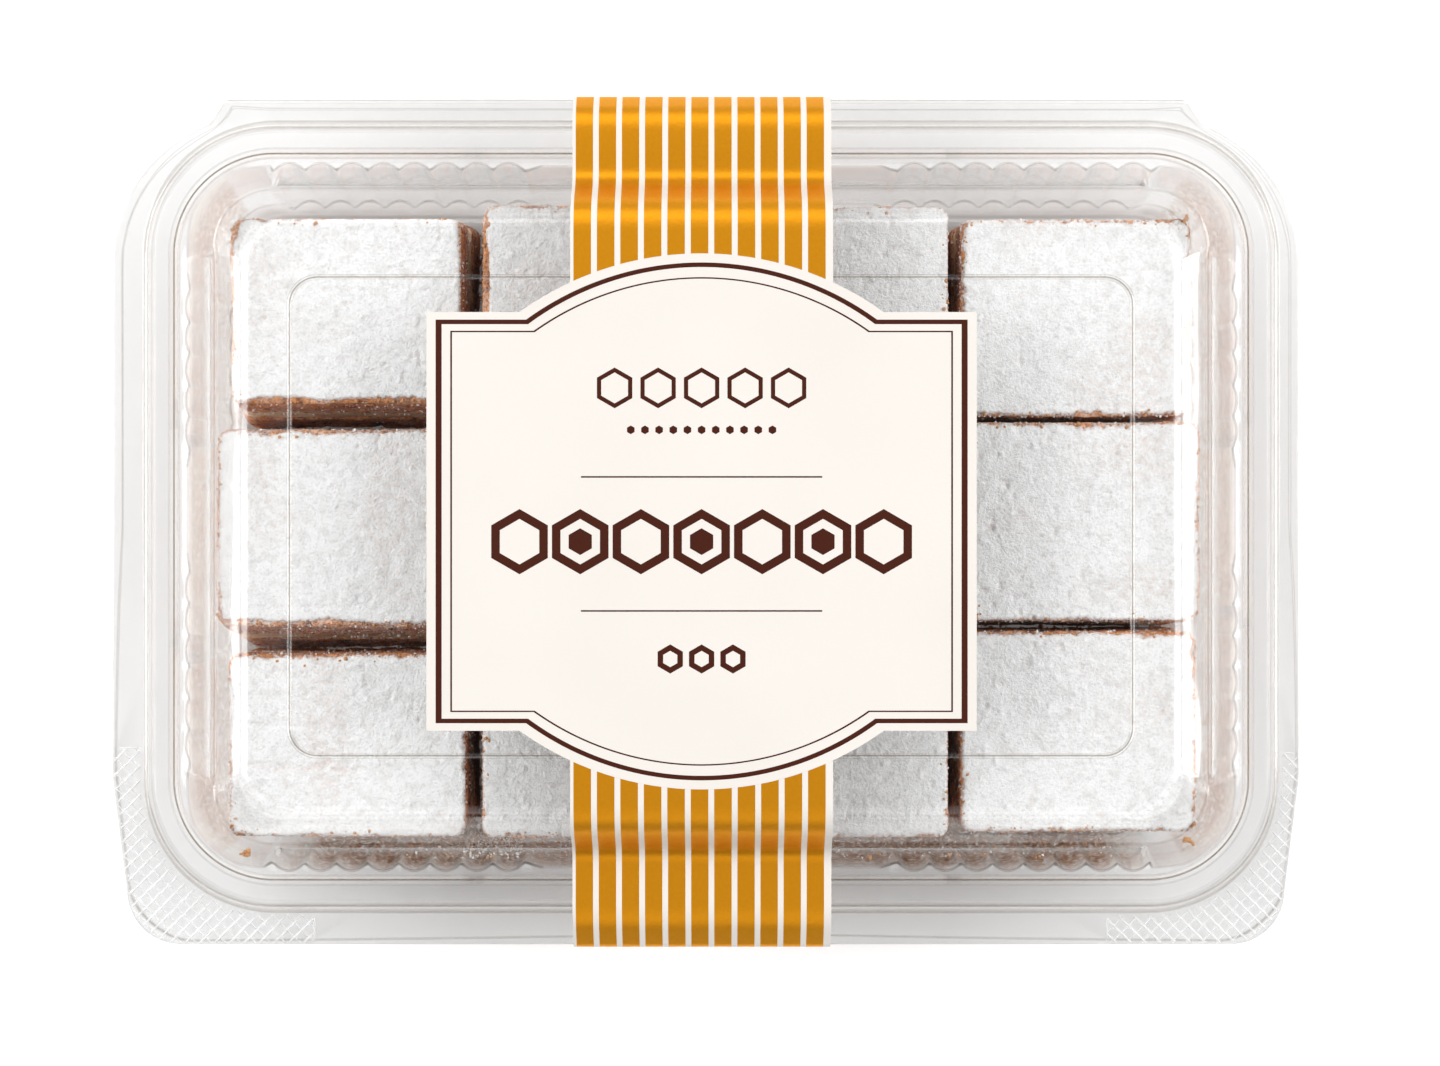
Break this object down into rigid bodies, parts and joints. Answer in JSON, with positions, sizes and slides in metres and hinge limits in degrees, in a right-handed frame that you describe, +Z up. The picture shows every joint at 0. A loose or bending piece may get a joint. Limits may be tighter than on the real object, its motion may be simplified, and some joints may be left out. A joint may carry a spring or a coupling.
{
  "type": "pack of honey cake squares",
  "caption": "Shut clear clamshell of layered honey cake squares dusted with icing sugar, sealed by a striped paper band with an arched plaque.",
  "frame": {"origin": "on the surface that the pack stands on, under the middle of its outer box", "axes": "+Z up, +Y towards the hinge, +X along the length, to the right when the pull tabs face the viewer"},
  "size_m": [0.2402, 0.1724, 0.0521],
  "materials": {
    "clear_plastic": "clear thermoformed sheet, glossy",
    "label_paper": "satin cream label with ochre stripes and dark brown lines",
    "honey_sponge": "baked honey sponge with a fine open crumb, matt",
    "cream_filling": "set semolina cream, soft satin",
    "icing_sugar": "thick dusting of icing sugar, matt"
  },
  "bodies": {
    "root": {"tray": "clear_plastic", "lid": "clear_plastic", "label": "label_paper", "square_1_1_lower_sheet": "honey_sponge", "square_1_1_cream": "cream_filling", "square_1_1_upper_sheet": "honey_sponge", "square_1_1_sugar": "icing_sugar", "square_1_2_lower_sheet": "honey_sponge", "square_1_2_cream": "cream_filling", "square_1_2_upper_sheet": "honey_sponge", "square_1_2_sugar": "icing_sugar", "square_1_3_lower_sheet": "honey_sponge", "square_1_3_cream": "cream_filling", "square_1_3_upper_sheet": "honey_sponge", "square_1_3_sugar": "icing_sugar", "square_1_4_lower_sheet": "honey_sponge", "square_1_4_cream": "cream_filling", "square_1_4_upper_sheet": "honey_sponge", "square_1_4_sugar": "icing_sugar", "square_2_1_lower_sheet": "honey_sponge", "square_2_1_cream": "cream_filling", "square_2_1_upper_sheet": "honey_sponge", "square_2_1_sugar": "icing_sugar", "square_2_2_lower_sheet": "honey_sponge", "square_2_2_cream": "cream_filling", "square_2_2_upper_sheet": "honey_sponge", "square_2_2_sugar": "icing_sugar", "square_2_3_lower_sheet": "honey_sponge", "square_2_3_cream": "cream_filling", "square_2_3_upper_sheet": "honey_sponge", "square_2_3_sugar": "icing_sugar", "square_2_4_lower_sheet": "honey_sponge", "square_2_4_cream": "cream_filling", "square_2_4_upper_sheet": "honey_sponge", "square_2_4_sugar": "icing_sugar", "square_3_1_lower_sheet": "honey_sponge", "square_3_1_cream": "cream_filling", "square_3_1_upper_sheet": "honey_sponge", "square_3_1_sugar": "icing_sugar", "square_3_2_lower_sheet": "honey_sponge", "square_3_2_cream": "cream_filling", "square_3_2_upper_sheet": "honey_sponge", "square_3_2_sugar": "icing_sugar", "square_3_3_lower_sheet": "honey_sponge", "square_3_3_cream": "cream_filling", "square_3_3_upper_sheet": "honey_sponge", "square_3_3_sugar": "icing_sugar", "square_3_4_lower_sheet": "honey_sponge", "square_3_4_cream": "cream_filling", "square_3_4_upper_sheet": "honey_sponge", "square_3_4_sugar": "icing_sugar"}
  },
  "joints": []
}
